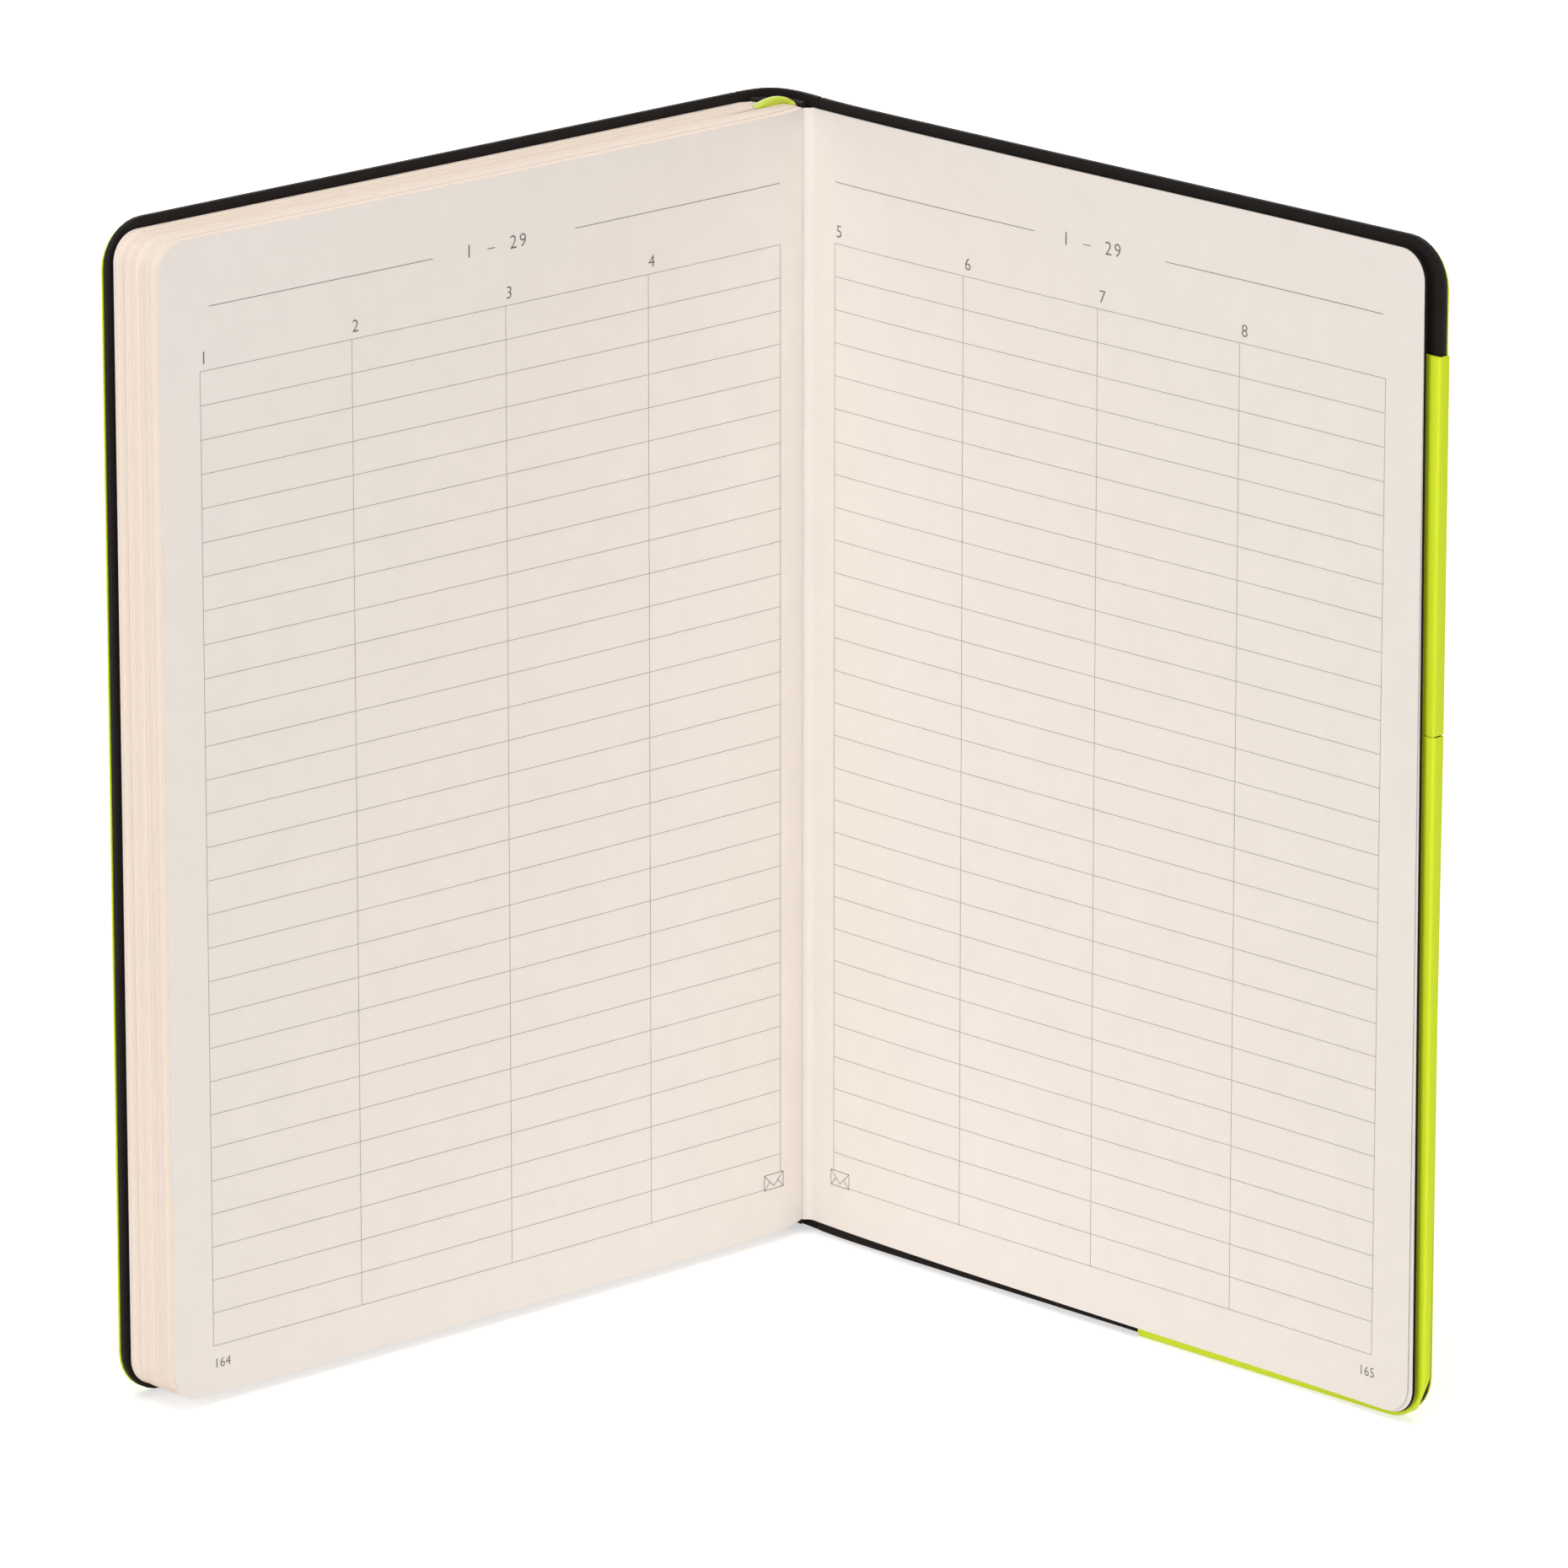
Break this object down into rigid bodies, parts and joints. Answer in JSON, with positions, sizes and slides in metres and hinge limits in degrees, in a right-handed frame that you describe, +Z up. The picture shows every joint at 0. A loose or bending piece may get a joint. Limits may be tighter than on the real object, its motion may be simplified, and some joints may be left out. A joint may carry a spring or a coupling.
{
  "type": "lined notebook",
  "caption": "Soft-cover sewn notebook with ruled pages, standing open near its last leaf, with a ribbon marker and a card pocket wrapped round the back cover.",
  "frame": {"origin": "middle of the open notebook's footprint, on the floor that its tail edge stands on", "axes": "+X to the reader's right, +Y from the reader towards the spine, +Z up along the spine"},
  "size_m": [0.227, 0.112, 0.2097],
  "materials": {
    "page_paper": "matte cream",
    "black_paper": "matte black",
    "black_board": "matte black",
    "neon_skin": "soft matte neon yellow",
    "neon_card": "satin neon yellow",
    "cotton": "plain cotton",
    "black_weave": "woven black",
    "lime_satin": "lime satin ribbon"
  },
  "bodies": {
    "block": {"signature_01": "page_paper", "signature_02": "page_paper", "signature_03": "page_paper", "signature_04": "page_paper", "signature_05": "page_paper", "signature_06": "page_paper", "signature_07": "page_paper", "signature_08": "page_paper", "signature_09": "page_paper", "signature_10": "page_paper", "signature_11": "page_paper", "signature_12": "page_paper", "front_free_endpaper": "black_paper", "sewing_thread": "cotton", "spine_gauze": "cotton", "head_band": "black_weave", "tail_band": "black_weave", "ribbon_marker": "lime_satin", "spine_skin": "neon_skin", "spine_board": "black_board", "spine_lining": "black_paper"},
    "front_cover": {"front_cover_lining": "black_paper", "front_cover_board": "black_board", "front_cover_skin": "neon_skin"},
    "last_leaves": {"last_ruled_leaf": "page_paper", "last_plain_leaf": "page_paper", "back_free_endpaper": "black_paper"},
    "back_cover": {"back_cover_lining": "black_paper", "back_cover_board": "black_board", "back_cover_skin": "neon_skin", "pocket_panel": "neon_card", "pocket_fore_flap_upper": "neon_card", "pocket_fore_flap_lower": "neon_card", "pocket_tail_flap": "neon_card"}
  },
  "joints": [
    {"name": "front_cover_hinge", "type": "hinge", "parent": "block", "child": "front_cover", "pos_m": [-0.00743, 0.05252, 0.105], "axis": [0, 0, -1], "range_deg": [0, 125]},
    {"name": "last_leaves_turn", "type": "hinge", "parent": "block", "child": "last_leaves", "pos_m": [0.00547, 0.04557, 0.105], "axis": [0, 0, 1], "range_deg": [-93, 0]},
    {"name": "back_cover_hinge", "type": "hinge", "parent": "last_leaves", "child": "back_cover", "pos_m": [0.00899, 0.04867, 0.105], "axis": [0, 0, 1], "range_deg": [0, 134]}
  ]
}
